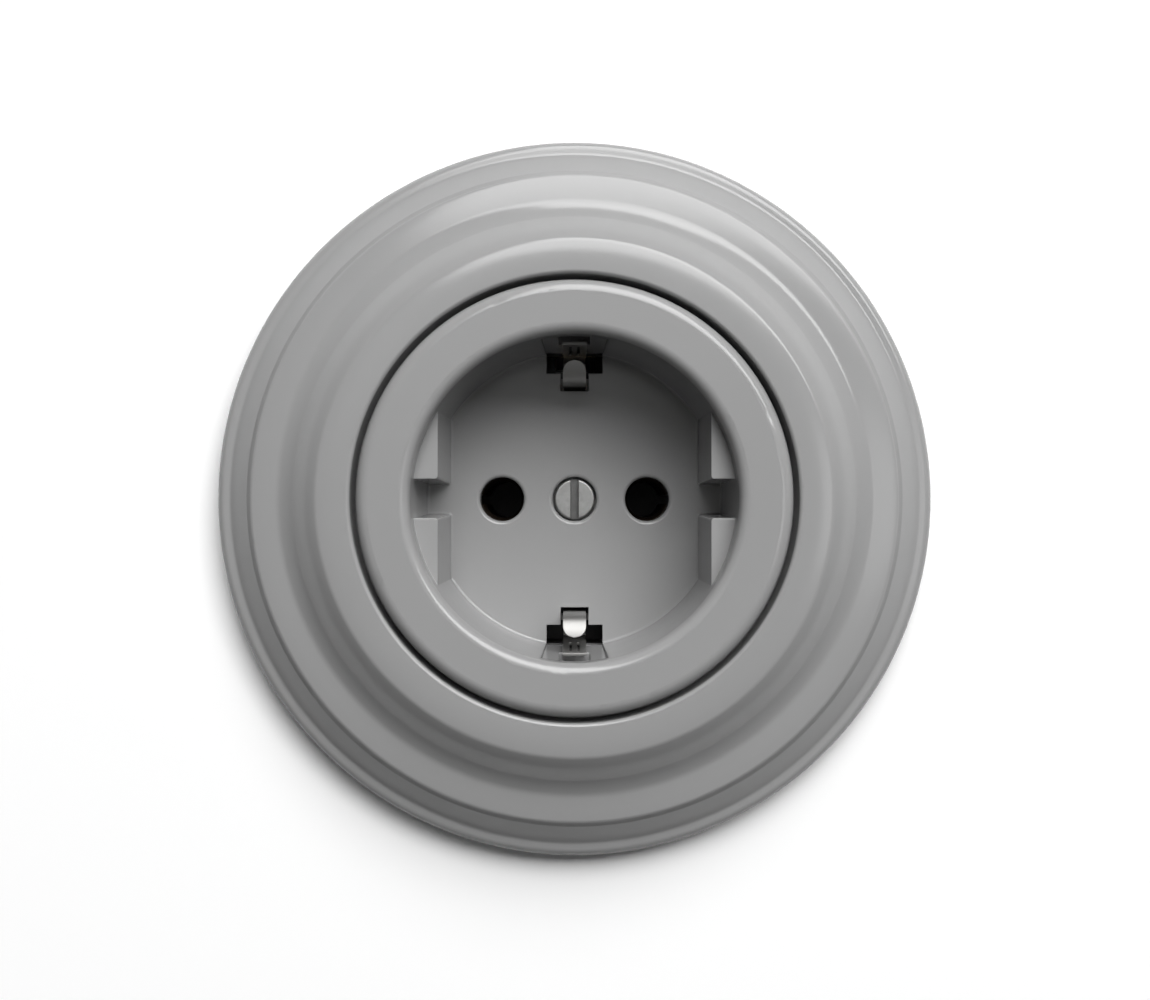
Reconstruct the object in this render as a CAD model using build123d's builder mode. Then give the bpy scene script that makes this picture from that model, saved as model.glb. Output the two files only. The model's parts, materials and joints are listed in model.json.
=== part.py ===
from build123d import *
import os
from math import cos, radians, sin, tan

os.makedirs("parts", exist_ok=True)

# Round flush-mounted schuko wall socket.
# Millimetres. X runs to the right, Z up and Y into the wall. The origin is the middle of the
# socket on the face of the wall, so what stands in front of the wall has a negative Y.

# Depths from the face of the wall
face_stand_off = 13.0
frame_stand_off = 12.5

# Plug well in the centre cover
well_depth = 17.5
well_floor_radius = 19.25
well_wall = 1.9
floor_thickness = 2.5
draft_angle = 1.9
rim_rounding = 1.3
floor_rounding = 0.3

# Guides at the left and right of the well
guide_drop = 3.3
guide_width = 3.08
notch_half_width = 1.94
guide_rounding = 0.35

# Plug pins and the screw in the middle
pin_pitch = 19.0
pin_radius = 2.4
pin_hole_gap = 0.47
block_pin_gap = 0.7
sleeve_gap = 0.05
hole_rounding = 0.5
cover_screw_radius = 1.45
cover_screw_length = 9.0
cover_screw_head_radius = 2.65
cover_screw_head_height = 1.8
cover_screw_head_sink = 0.2
cover_screw_slot = 1.05
cover_screw_slot_depth = 0.9
cover_screw_head_rounding = 0.25
screw_end_chamfer = 0.3
screw_hole_gap = 0.22
cover_boss_radius = 4.0

# Face and skirt of the centre cover
face_band = 6.52
cover_rounding = 1.5
cover_face_thickness = 2.2
skirt_thickness = 1.5
skirt_depth = 5.5
cover_rib_count = 6
cover_rib_thickness = 1.2

# Windows for the earth tongues
window_edge = 0.15
window_height = 2.64
window_width = 7.32
slot_height = 2.3
slot_width = 3.64
recess_width = 8.2
recess_depth = 0.7
recess_top_drop = 2.8
groove_width = 3.9
groove_depth = 0.6
groove_foot_drop = 11.0

# Cover frame
frame_bore_gap = 0.65
frame_edge_rounding = 0.45
frame_ledge_lap = 0.55
frame_ledge_thickness = 2.2
frame_wall = 2.2
land_width = 4.2
land_slope = 2.0
shoulder_radius = 3.6
steep_angle = 72.0
steep_run = 1.0
cove_radius = 3.1
bead_slope = 6.0
bead_width = 2.9
bead_rounding = 0.6
step_angle = 76.0
step_height = 1.5
foot_rounding = 1.0
foot_slope = 14.0
foot_width = 3.1
lip_width = 0.35
lip_height = 0.12
edge_width = 0.7
edge_rounding = 0.65
frame_rib_count = 8
frame_rib_thickness = 1.4
frame_rib_gap = 0.3

# Sheet metal
earth_sheet = 0.7
contact_sheet = 0.8
ring_sheet = 1.0
claw_sheet = 1.2

# Earth bow
bow_gap = 0.2
bow_arm_width = 7.0
bow_arm_bend = 11.0
bow_arm_step = 4.9
bow_arm_run = 1.6
bow_hub_width = 2.2
bow_hub_gap = 0.3
tongue_width = 3.1
tongue_gap = 0.76
tongue_straight = 10.0
tongue_overhang = 0.84
tongue_tip_drop = 7.0
tongue_slit = 0.25
stem_width = 3.05
stem_foot_gap = 0.55
stem_top_gap = 0.75
stem_top_drop = 8.0
stem_wing_width = 7.0
stem_wing_height = 3.6
stem_slot_width = 0.32
stem_slot_spacing = 1.0
bend_radius = 0.8

# Insulating block behind the cover
cup_gap = 0.3
cup_wall = 1.77
block_side_cut = 4.8
block_front_thickness = 2.0
block_depth = 26.0
block_cup_depth = 9.0
block_wall = 1.7
chamber_inner = 5.4
chamber_top = 5.4
earth_chamber_half_width = 5.0
earth_chamber_start = 8.4
chamber_rounding = 0.8
boss_outset = 0.8
boss_radius = 3.0
boss_depth = 10.0
back_plate_thickness = 2.0

# Threaded insert for the cover screw
insert_radius = 2.9
insert_length = 8.6
insert_waist = 0.35

# Spring sleeves
sleeve_length = 14.5
sleeve_slit = 1.2
sleeve_mouth = 0.35
leg_start = 2.0
leg_length = 5.5
terminal_reach = 10.2
terminal_offset = 10.0
terminal_tail_width = 5.2
terminal_tail_length = 15.6

# Terminals
cage_width = 7.2
cage_side = 0.9
cage_top = 1.0
cage_height = 7.2
cage_screw_wall = 1.8
cage_length = 6.5
cage_start = 8.5
terminal_screw_radius = 1.6
terminal_screw_head_radius = 2.6
terminal_screw_head_height = 1.8
terminal_screw_length = 6.6
terminal_screw_open = 3.6
screw_slot = 0.8
screw_slot_depth = 0.8
driver_hole_radius = 3.0
thread_gap = 0.04
wire_hole_radius = 1.7
wire_hole_spacing = 4.2
wire_hole_flare = 0.3

# Support ring on the wall
ring_edge = 2.0
ring_bore_gap = 0.4
ring_lip = 1.2
box_pitch = 60.0
box_slot_length = 7.0
box_slot_width = 4.0
ring_rounding = 0.4

# Small screws and rivets
ring_screw_radius = 1.25
ring_screw_head_radius = 2.3
ring_screw_head_height = 1.5
ring_screw_length = 8.0
rivet_radius = 1.2
rivet_bore = 0.7
rivet_head_radius = 2.0
rivet_head_height = 0.6
rivet_length = 7.0
rivet_spread = 12.0
rivet_low = 17.0
hole_gap = 0.15

# Spreading claws
claw_screw_outset = 1.8
claw_screw_radius = 1.5
claw_screw_length = 28.5
claw_screw_head_radius = 2.75
claw_screw_head_height = 2.0
ramp_angle = 20.0
ramp_end_gap = 1.0
ramp_inner = 3.7
ramp_thickness = 1.4
claw_gap = 0.16
claw_foot_gap = 1.2
claw_height = 9.0
claw_half_width = 5.0
claw_outer_width = 2.9
claw_tooth_depth = 0.9
claw_tooth_count = 3
claw_slot_gap = 0.22
claw_travel = 8.0
nut_size = 6.4
nut_thickness = 2.4
nut_rounding = 0.6
nut_gap = 0.06
nut_bore_gap = 0.06

# Width of the band in which an edge counts as lying at a depth
edge_band = 0.02

# Depths worked out from the sizes above
face_y = -face_stand_off
floor_y = face_y + well_depth
floor_back_y = floor_y + floor_thickness
guide_y = face_y + guide_drop
skirt_y = face_y + skirt_depth
ledge_back_y = skirt_y + frame_ledge_thickness
head_seat_y = floor_y + cover_screw_head_sink + cover_screw_head_height
block_y = floor_back_y
block_back_y = block_depth
bow_front_y = block_y + bow_gap
bow_middle_y = bow_front_y + earth_sheet / 2
bow_back_y = bow_front_y + earth_sheet
arm_middle_y = bow_middle_y + bow_arm_step
arm_back_y = bow_back_y + bow_arm_step
chamber_y = block_y + block_front_thickness
cage_y = chamber_y + cage_start
cage_middle_y = cage_y + cage_length / 2
ramp_end_y = block_back_y - ramp_end_gap
claw_foot_y = ramp_end_y - claw_foot_gap
claw_front_y = claw_foot_y - claw_height

# Radii and heights worked out from the floor of the well outwards
draft = tan(radians(draft_angle))
guide_half_gap = well_floor_radius - guide_width
well_face_radius = well_floor_radius + well_depth * draft
well_outer_radius = well_face_radius + well_wall
cover_radius = well_face_radius + face_band
frame_bore = cover_radius + frame_bore_gap
frame_ledge_radius = cover_radius - skirt_thickness - frame_ledge_lap
window_end = well_floor_radius - window_edge
window_start = window_end - window_height
slot_start = window_start - slot_height
recess_end = well_floor_radius + recess_depth
tongue_root = slot_start + tongue_gap
tongue_tip = window_start + tongue_overhang
stem_foot = window_end - stem_foot_gap
stem_top = recess_end - stem_top_gap
pin_x = pin_pitch / 2
pin_hole_radius = pin_radius + pin_hole_gap
sleeve_radius = pin_radius + sleeve_gap
cup_radius = well_outer_radius + cup_gap
block_radius = cup_radius + cup_wall
block_half_width = block_radius - block_side_cut
chamber_radius = block_radius - block_wall
chamber_side = block_half_width - block_wall
boss_circle_radius = block_radius + boss_outset
ring_bore = well_outer_radius + ring_bore_gap
ring_radius = (box_pitch + box_slot_length) / 2 + ring_edge
claw_screw_offset = block_radius + claw_screw_outset
claw_reach = claw_screw_offset + claw_outer_width
ramp_slope = tan(radians(ramp_angle))


def at_depth(depth):
    """The plane parallel to the wall at a depth; it faces the viewer."""
    return Plane.XZ.offset(-depth)


def ramp_x(depth):
    """Distance of the ramp's surface from the middle, at a depth."""
    return block_half_width + (ramp_end_y - depth) * ramp_slope


def save(piece, label):
    """Label a finished piece and write it to its own file."""
    piece.label = label
    export_step(piece, f"parts/{label}.step")


# Space for the tongues: windows in the floor, a recess up the wall and a groove in it
with BuildPart() as tongue_space:
    with BuildSketch(at_depth(floor_back_y)):
        with Locations((0, (slot_start + window_end) / 2)):
            Rectangle(slot_width, window_end - slot_start)
        with Locations((0, (window_start + window_end) / 2)):
            Rectangle(window_width, window_end - window_start)
    extrude(amount=floor_thickness)
    with BuildSketch(at_depth(floor_y)):
        with Locations((0, (window_start + window_end) / 2)):
            Rectangle(window_width, window_end - window_start)
    with BuildSketch(at_depth(face_y + recess_top_drop)):
        with Locations((0, (window_start + recess_end) / 2)):
            Rectangle(recess_width, recess_end - window_start)
    loft(ruled=True)
    with BuildSketch(at_depth(face_y + groove_foot_drop)):
        with Locations((0, (window_start + recess_end + groove_depth) / 2)):
            Rectangle(groove_width, recess_end + groove_depth - window_start)
    extrude(amount=groove_foot_drop - recess_top_drop)
    mirror(about=Plane.XY)

# Centre cover: face, skirt and well wall in one turn
with BuildPart() as centre_cover:
    with BuildSketch(Plane.XY) as cover_section:
        with BuildLine():
            Polyline(
                (0, floor_back_y),
                (well_outer_radius, floor_back_y),
                (well_outer_radius, face_y + cover_face_thickness),
                (cover_radius - skirt_thickness, face_y + cover_face_thickness),
                (cover_radius - skirt_thickness, skirt_y),
                (cover_radius, skirt_y),
                (cover_radius, face_y),
                (0, face_y),
                close=True,
            )
        make_face()
        outer_corner = cover_section.vertices().group_by(Axis.X)[-1].sort_by(Axis.Y)[0]
        fillet(outer_corner, radius=cover_rounding)
    revolve(axis=Axis.Y)
    # Ribs between the well wall and the skirt
    with BuildSketch(at_depth(skirt_y)):
        with PolarLocations(0, cover_rib_count, start_angle=180 / cover_rib_count):
            with Locations(((well_outer_radius + cover_radius - skirt_thickness) / 2, 0)):
                rib_length = cover_radius - skirt_thickness / 2 - well_outer_radius + well_wall / 2
                Rectangle(rib_length, cover_rib_thickness)
    extrude(amount=skirt_depth - cover_face_thickness)
    # Well above the guides
    with BuildSketch(at_depth(face_y)):
        Circle(well_face_radius)
    extrude(amount=-guide_drop, taper=draft_angle, mode=Mode.SUBTRACT)
    # Well between the guides, with a notch in the middle of each side
    with BuildSketch(at_depth(floor_y)) as lower_well:
        Circle(well_floor_radius)
        Rectangle(2 * guide_half_gap, 3 * well_floor_radius, mode=Mode.INTERSECT)
        with BuildSketch(mode=Mode.PRIVATE) as notches:
            Rectangle(3 * well_floor_radius, 2 * notch_half_width)
            Circle(well_floor_radius, mode=Mode.INTERSECT)
        add(notches.sketch)
    extrude(amount=well_depth - guide_drop, taper=-draft_angle, mode=Mode.SUBTRACT)
    # Roundings of the guides' corners, of the floor's corner and of the rim
    guide_corners = (
        centre_cover.edges()
        .filter_by_position(Axis.Y, guide_y + guide_rounding, floor_y - floor_rounding)
        .filter_by(lambda edge: abs(edge.center().Z) < 2 * notch_half_width)
        .filter_by(lambda edge: abs(edge.center().X) < well_floor_radius - guide_rounding)
    )
    fillet(guide_corners, radius=guide_rounding)
    floor_outline = centre_cover.edges().filter_by_position(Axis.Y, floor_y - edge_band, floor_y + edge_band)
    fillet(floor_outline, radius=floor_rounding)
    rim = centre_cover.edges().group_by(Axis.Y)[0].sort_by(SortBy.RADIUS)[0]
    fillet(rim, radius=rim_rounding)
    # Boss for the screw, behind the floor
    with BuildSketch(at_depth(bow_back_y)):
        Circle(cover_boss_radius)
    extrude(amount=bow_back_y - floor_back_y)
    # Pin holes and the stepped hole of the screw
    with BuildSketch(at_depth(floor_back_y)):
        with Locations((-pin_x, 0), (pin_x, 0)):
            Circle(pin_hole_radius)
    extrude(amount=floor_thickness, mode=Mode.SUBTRACT)
    with BuildSketch(at_depth(head_seat_y)):
        Circle(cover_screw_head_radius + screw_hole_gap)
    extrude(amount=head_seat_y - floor_y, mode=Mode.SUBTRACT)
    with BuildSketch(at_depth(bow_back_y)):
        Circle(cover_screw_radius + hole_gap)
    extrude(amount=bow_back_y - head_seat_y, mode=Mode.SUBTRACT)
    hole_mouths = (
        centre_cover.edges()
        .filter_by(GeomType.CIRCLE)
        .filter_by_position(Axis.Y, floor_y - edge_band, floor_y + edge_band)
        .filter_by(lambda edge: edge.radius < 2 * pin_hole_radius)
    )
    fillet(hole_mouths, radius=hole_rounding)
    add(tongue_space.part, mode=Mode.SUBTRACT)
save(centre_cover.part, "centre_cover")

# Screw in the middle of the well
with BuildPart() as cover_screw:
    with BuildSketch(at_depth(head_seat_y)):
        Circle(cover_screw_head_radius)
    extrude(amount=cover_screw_head_height)
    front_rim = cover_screw.edges().group_by(Axis.Y)[0]
    fillet(front_rim, radius=cover_screw_head_rounding)
    with BuildSketch(at_depth(head_seat_y - cover_screw_head_height)):
        Rectangle(cover_screw_slot, 3 * cover_screw_head_radius)
    extrude(amount=-cover_screw_slot_depth, mode=Mode.SUBTRACT)
    with BuildSketch(at_depth(head_seat_y)):
        Circle(cover_screw_radius)
    extrude(amount=-cover_screw_length)
    chamfer(cover_screw.edges().group_by(Axis.Y)[-1], length=screw_end_chamfer)
save(cover_screw.part, "cover_screw")

# Cover frame: joints of its stepped outline, from the bore outwards
land_start = (frame_bore, -frame_stand_off)
land_end = (frame_bore + land_width, -frame_stand_off + land_width * tan(radians(land_slope)))


def along(point, angle, run):
    """The point reached by a straight run that falls towards the wall at an angle."""
    return (point[0] + run * cos(radians(angle)), point[1] + run * sin(radians(angle)))


def turn_to(point, start_angle, end_angle, radius):
    """The end of an arc that turns from one slope to a steeper one, bulging to the front."""
    a, b = radians(start_angle), radians(end_angle)
    return (point[0] + radius * (sin(b) - sin(a)), point[1] + radius * (cos(a) - cos(b)))


def flatten_to(point, start_angle, end_angle, radius):
    """The end of a hollow arc that turns from one slope to a flatter one."""
    a, b = radians(start_angle), radians(end_angle)
    return (point[0] + radius * (sin(a) - sin(b)), point[1] + radius * (cos(b) - cos(a)))


def inside(point, angle, wall):
    """A point moved from the front surface into the material by the wall."""
    return (point[0] - wall * sin(radians(angle)), point[1] + wall * cos(radians(angle)))


def slope_vector(angle):
    """Direction along the front surface where it falls towards the wall at an angle."""
    return (cos(radians(angle)), sin(radians(angle)))


shoulder_end = turn_to(land_end, land_slope, steep_angle, shoulder_radius)
cove_start = along(shoulder_end, steep_angle, steep_run)
cove_end = flatten_to(cove_start, steep_angle, bead_slope, cove_radius)
bead_end = along(cove_end, bead_slope, bead_width / cos(radians(bead_slope)))
step_foot = along(bead_end, step_angle, step_height / sin(radians(step_angle)))
foot_end = along(step_foot, foot_slope, foot_width / cos(radians(foot_slope)))
lip_start = (foot_end[0], foot_end[1] - lip_height)
lip_end = (foot_end[0] + lip_width, foot_end[1] - lip_height)
frame_radius = lip_end[0] + edge_width
hollow_radius = frame_radius - frame_wall
hollow_foot = inside(cove_end, bead_slope, frame_wall)
hollow_shelf = (hollow_radius, hollow_foot[1] + frame_wall)

with BuildPart() as cover_frame:
    with BuildSketch(Plane.XY) as frame_section:
        with BuildLine():
            Line((frame_ledge_radius, skirt_y), (frame_bore, skirt_y))
            Line((frame_bore, skirt_y), land_start)
            Line(land_start, land_end)
            TangentArc(land_end, shoulder_end, tangent=slope_vector(land_slope))
            Line(shoulder_end, cove_start)
            TangentArc(cove_start, cove_end, tangent=slope_vector(steep_angle))
            Line(cove_end, bead_end)
            Line(bead_end, step_foot)
            Line(step_foot, foot_end)
            Line(foot_end, lip_start)
            Line(lip_start, lip_end)
            Line(lip_end, (frame_radius, lip_end[1]))
            Line((frame_radius, lip_end[1]), (frame_radius, 0))
            Line((frame_radius, 0), (frame_ledge_radius, 0))
            Line((frame_ledge_radius, 0), (frame_ledge_radius, skirt_y))
        make_face()
        corners = frame_section.vertices()
        fillet(corners.sort_by_distance(land_start)[0], radius=frame_edge_rounding)
        corners = frame_section.vertices()
        fillet(corners.sort_by_distance(bead_end)[0], radius=bead_rounding)
        corners = frame_section.vertices()
        fillet(corners.sort_by_distance(step_foot)[0], radius=foot_rounding)
        corners = frame_section.vertices()
        fillet(corners.sort_by_distance((frame_radius, lip_end[1]))[0], radius=edge_rounding)
    revolve(axis=Axis.Y)
    # Hollow behind the wall of the frame, following the outline at the wall's thickness
    with BuildSketch(Plane.XY) as hollow_section:
        with BuildLine():
            hollow_land = (frame_bore + frame_wall, -frame_stand_off + frame_wall)
            hollow_land_end = inside(land_end, land_slope, frame_wall)
            hollow_shoulder = inside(shoulder_end, steep_angle, frame_wall)
            hollow_cove = inside(cove_start, steep_angle, frame_wall)
            Line((0, 0), (0, ledge_back_y))
            Line((0, ledge_back_y), (frame_bore + frame_wall, ledge_back_y))
            Line((frame_bore + frame_wall, ledge_back_y), hollow_land)
            Line(hollow_land, hollow_land_end)
            TangentArc(hollow_land_end, hollow_shoulder, tangent=slope_vector(land_slope))
            Line(hollow_shoulder, hollow_cove)
            TangentArc(hollow_cove, hollow_foot, tangent=slope_vector(steep_angle))
            Line(hollow_foot, hollow_shelf)
            Line(hollow_shelf, (hollow_radius, 0))
            Line((hollow_radius, 0), (0, 0))
        make_face()
    revolve(axis=Axis.Y, mode=Mode.SUBTRACT)
    # Ribs across the hollow, which rest on the support ring inside its lip
    with BuildSketch(Plane.XY) as rib_section:
        add(hollow_section.sketch)
        with Locations((frame_bore + frame_wall, -ring_sheet)):
            rib_corner = (Align.MIN, Align.MAX)
            Rectangle(frame_radius, frame_stand_off, align=rib_corner, mode=Mode.INTERSECT)
        with Locations((ring_radius - ring_sheet - frame_rib_gap, 0)):
            lip_corner = (Align.MIN, Align.MAX)
            lip_space = ring_sheet + ring_lip + frame_rib_gap
            Rectangle(frame_radius, lip_space, align=lip_corner, mode=Mode.SUBTRACT)
    frame_rib = extrude(amount=frame_rib_thickness / 2, both=True, mode=Mode.PRIVATE)
    for rib in range(frame_rib_count):
        add(frame_rib.rotate(Axis.Y, (rib + 0.5) * 360 / frame_rib_count))
save(cover_frame.part, "cover_frame")

# Earth bow: a strap behind the floor, with a tongue and a stem standing up at each end
with BuildPart() as tongue:
    with BuildSketch(Plane.YZ):
        with BuildLine():
            bulge = (arm_middle_y - tongue_straight, tongue_root)
            FilletPolyline(
                (arm_middle_y, tongue_root - 1.5 * bend_radius),
                (arm_middle_y, tongue_root),
                bulge,
                radius=bend_radius,
            )
            TangentArc(bulge, (face_y + tongue_tip_drop, tongue_tip), tangent=(-1, 0))
        trace(line_width=earth_sheet)
    extrude(amount=tongue_width / 2, both=True)
    # Rounded tip, seen from the front
    with BuildSketch(at_depth(arm_back_y)):
        tip_centre = tongue_tip - tongue_width / 2
        with Locations((0, tip_centre)):
            Circle(tongue_width / 2)
        with Locations((0, tip_centre / 2)):
            Rectangle(tongue_width, tip_centre)
    extrude(amount=arm_back_y - face_y, mode=Mode.INTERSECT)

with BuildPart() as stem:
    with BuildSketch(Plane.YZ):
        with BuildLine():
            FilletPolyline(
                (arm_middle_y, stem_foot - 1.5 * bend_radius),
                (arm_middle_y, stem_foot),
                (floor_y, stem_foot),
                (face_y + stem_top_drop, stem_top),
                radius=bend_radius,
            )
        trace(line_width=earth_sheet)
    extrude(amount=stem_width / 2, both=True)
    # Wings at the front end, which lie in the recess of the cover
    stem_lean = (stem_top - stem_foot) / (well_depth - stem_top_drop)
    wing_foot = stem_top - stem_wing_height * stem_lean
    with BuildSketch(Plane.YZ):
        with BuildLine():
            Line(
                (face_y + stem_top_drop + stem_wing_height, wing_foot),
                (face_y + stem_top_drop, stem_top),
            )
        trace(line_width=earth_sheet)
    extrude(amount=stem_wing_width / 2, both=True)
    # Two slots along the stem
    stem_slot_start = face_y + stem_top_drop + stem_wing_height / 3
    with BuildSketch(Plane.XY.offset(stem_foot - stem_width)):
        with Locations((0, (stem_slot_start + floor_back_y) / 2)):
            with GridLocations(stem_slot_spacing, 0, 2, 1):
                Rectangle(stem_slot_width, floor_back_y - stem_slot_start)
    extrude(amount=2 * stem_width, mode=Mode.SUBTRACT)

with BuildPart() as earth_bow:
    hub_bore = cover_boss_radius + bow_hub_gap
    with BuildSketch(at_depth(bow_back_y)):
        Circle(hub_bore + bow_hub_width)
        Circle(hub_bore, mode=Mode.SUBTRACT)
    extrude(amount=earth_sheet)
    # Arm, which steps back to the depth where the tongue and the stem begin
    with BuildSketch(Plane.YZ):
        with BuildLine():
            FilletPolyline(
                (bow_middle_y, hub_bore + bow_hub_width / 3),
                (bow_middle_y, bow_arm_bend),
                (arm_middle_y, bow_arm_bend + bow_arm_run),
                (arm_middle_y, stem_foot - bend_radius),
                radius=bend_radius,
            )
        trace(line_width=earth_sheet)
    extrude(amount=bow_arm_width / 2, both=True)
    with BuildSketch(at_depth(arm_back_y)):
        slit_start = tongue_root - bend_radius
        slit_end = stem_foot - earth_sheet - bend_radius
        with Locations((0, (slit_start + slit_end) / 2)):
            Rectangle(tongue_width + 2 * tongue_slit, slit_end - slit_start)
    extrude(amount=earth_sheet, mode=Mode.SUBTRACT)
    add(tongue.part)
    add(stem.part)
    mirror(about=Plane.XY)
save(earth_bow.part, "earth_bow")

# Terminal rail of the earth, welded to the back of the bow
rail_y = bow_back_y + contact_sheet / 2
with BuildPart() as earth_rail:
    with BuildSketch(Plane.YZ):
        with BuildLine():
            FilletPolyline(
                (rail_y, hub_bore + contact_sheet),
                (rail_y, terminal_reach),
                (chamber_y + terminal_tail_length, terminal_reach),
                radius=bend_radius,
            )
        trace(line_width=contact_sheet)
    extrude(amount=terminal_tail_width / 2, both=True)
save(earth_rail.part, "earth_rail")

# Insulating block: a cup around the well, with the chambers behind it
with BuildPart() as contact_block:
    with BuildSketch(at_depth(block_back_y)) as block_outline:
        Circle(block_radius)
        Rectangle(2 * block_half_width, 3 * block_radius, mode=Mode.INTERSECT)
    extrude(amount=block_back_y - block_cup_depth)
    with BuildSketch(at_depth(block_cup_depth)):
        Circle(block_radius)
        with PolarLocations(boss_circle_radius, 4, start_angle=45):
            Circle(boss_radius)
    extrude(amount=block_cup_depth)
    with BuildSketch(at_depth(boss_depth)):
        with PolarLocations(boss_circle_radius, 4, start_angle=45):
            Circle(boss_radius)
    extrude(amount=boss_depth)
    with BuildSketch(at_depth(block_y)):
        Circle(cup_radius)
    extrude(amount=block_y, mode=Mode.SUBTRACT)
    # Ramps for the claws
    with BuildSketch(Plane.XY) as ramp_section:
        with BuildLine():
            ramp_head_y = block_cup_depth + ramp_thickness
            Polyline(
                (chamber_side, ramp_end_y),
                (block_half_width, ramp_end_y),
                (ramp_x(ramp_head_y), ramp_head_y),
                (block_radius - block_wall, block_cup_depth - ramp_thickness),
                (chamber_side, block_cup_depth - ramp_thickness),
                close=True,
            )
        make_face()
        mirror(about=Plane.YZ)
    for start in (ramp_inner, -ramp_inner - ramp_thickness):
        extrude(ramp_section.sketch.moved(Location((0, 0, start))), amount=ramp_thickness)
    # Chambers of the two poles and of the earth terminal, open at the back
    with BuildSketch(at_depth(block_back_y)):
        chamber_height = chamber_top + chamber_radius
        for side in (1, -1):
            with Locations((side * (chamber_inner + chamber_side) / 2, chamber_top - chamber_height / 2)):
                Rectangle(chamber_side - chamber_inner, chamber_height)
        with Locations((0, (earth_chamber_start + chamber_radius) / 2)):
            Rectangle(2 * earth_chamber_half_width, chamber_radius - earth_chamber_start)
        Circle(chamber_radius, mode=Mode.INTERSECT)
        fillet(vertices(), radius=chamber_rounding)
    extrude(amount=block_back_y - chamber_y, mode=Mode.SUBTRACT)
    # Bed of the earth bow, trenches for its arms and the opening for its rail
    with BuildSketch(at_depth(bow_back_y)):
        Circle(hub_bore + bow_hub_width + hole_gap)
        Rectangle(bow_arm_width + 2 * hole_gap, 2 * bow_arm_bend)
    extrude(amount=bow_back_y - block_y, mode=Mode.SUBTRACT)
    with BuildSketch(at_depth(arm_back_y)):
        trench_start = bow_arm_bend - bend_radius
        trench_end = stem_foot + earth_sheet / 2 + hole_gap
        for side in (1, -1):
            with Locations((0, side * (trench_start + trench_end) / 2)):
                Rectangle(bow_arm_width + 2 * hole_gap, trench_end - trench_start)
    extrude(amount=arm_back_y - block_y, mode=Mode.SUBTRACT)
    with BuildSketch(at_depth(rail_y + contact_sheet / 2)):
        with Locations((0, (hub_bore + terminal_reach + 2 * contact_sheet) / 2)):
            rail_bed_height = terminal_reach + 2 * contact_sheet - hub_bore
            Rectangle(terminal_tail_width + 2 * hole_gap, rail_bed_height)
    extrude(amount=contact_sheet, mode=Mode.SUBTRACT)
    with BuildSketch(at_depth(chamber_y)):
        with Locations((0, terminal_reach)):
            Rectangle(terminal_tail_width + 2 * hole_gap, 2 * contact_sheet)
    extrude(amount=chamber_y - bow_back_y, mode=Mode.SUBTRACT)
    # Holes for the plug pins and the threaded insert
    with BuildSketch(at_depth(chamber_y)):
        with Locations((-pin_x, 0), (pin_x, 0)):
            Circle(pin_radius + block_pin_gap)
    extrude(amount=block_front_thickness, mode=Mode.SUBTRACT)
    with BuildSketch(at_depth(bow_back_y + insert_length)):
        Circle(insert_radius)
    extrude(amount=insert_length, mode=Mode.SUBTRACT)
    # Holes for the driver that turns the terminal screws
    with BuildSketch(Plane.XY):
        with Locations((-terminal_offset, cage_middle_y), (terminal_offset, cage_middle_y)):
            Circle(driver_hole_radius)
    extrude(amount=-block_radius, mode=Mode.SUBTRACT)
    with BuildSketch(Plane.XY.offset(earth_chamber_start)):
        with Locations((0, cage_middle_y)):
            Circle(driver_hole_radius)
    extrude(amount=block_radius, mode=Mode.SUBTRACT)
    # Holes for the ring screws and for the rivets of the back plate
    with BuildSketch(at_depth(ring_screw_length)):
        with PolarLocations(boss_circle_radius, 4, start_angle=45):
            Circle(ring_screw_radius + thread_gap)
    extrude(amount=ring_screw_length, mode=Mode.SUBTRACT)
    rivet_places = [(-rivet_spread, rivet_spread), (rivet_spread, rivet_spread), (0, -rivet_low)]
    with BuildSketch(at_depth(block_back_y)):
        with Locations(rivet_places):
            Circle(rivet_radius + thread_gap)
    extrude(amount=rivet_length - back_plate_thickness, mode=Mode.SUBTRACT)
save(contact_block.part, "contact_block")

# Plate that closes the block at the back, with two wire holes for each terminal
with BuildPart() as back_plate:
    with BuildSketch(at_depth(block_back_y + back_plate_thickness)):
        add(block_outline.sketch)
        with Locations(rivet_places):
            Circle(rivet_radius + thread_gap, mode=Mode.SUBTRACT)
    extrude(amount=back_plate_thickness)
    wire_row = terminal_reach + contact_sheet / 2 + wire_hole_radius + thread_gap
    with BuildSketch(at_depth(block_back_y)):
        with Locations((-terminal_offset, -wire_row), (terminal_offset, -wire_row), (0, wire_row)):
            with GridLocations(wire_hole_spacing, 0, 2, 1):
                Circle(wire_hole_radius)
    extrude(amount=-back_plate_thickness, mode=Mode.SUBTRACT)
    wire_mouths = (
        back_plate.edges()
        .group_by(Axis.Y)[-1]
        .filter_by(GeomType.CIRCLE)
        .filter_by(lambda edge: abs(edge.radius - wire_hole_radius) < thread_gap)
    )
    chamfer(wire_mouths, length=wire_hole_flare)
save(back_plate.part, "back_plate")

# Threaded insert in the middle of the block
with BuildPart() as screw_insert:
    with BuildSketch(Plane.XY):
        with BuildLine():
            waist_front = bow_back_y + insert_length / 3
            waist_back = bow_back_y + 2 * insert_length / 3
            Polyline(
                (cover_screw_radius + thread_gap, bow_back_y),
                (insert_radius, bow_back_y),
                (insert_radius, waist_front),
                (insert_radius - insert_waist, waist_front + insert_waist),
                (insert_radius - insert_waist, waist_back - insert_waist),
                (insert_radius, waist_back),
                (insert_radius, bow_back_y + insert_length),
                (cover_screw_radius + thread_gap, bow_back_y + insert_length),
                close=True,
            )
        make_face()
    revolve(axis=Axis.Y)
save(screw_insert.part, "screw_insert")

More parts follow.
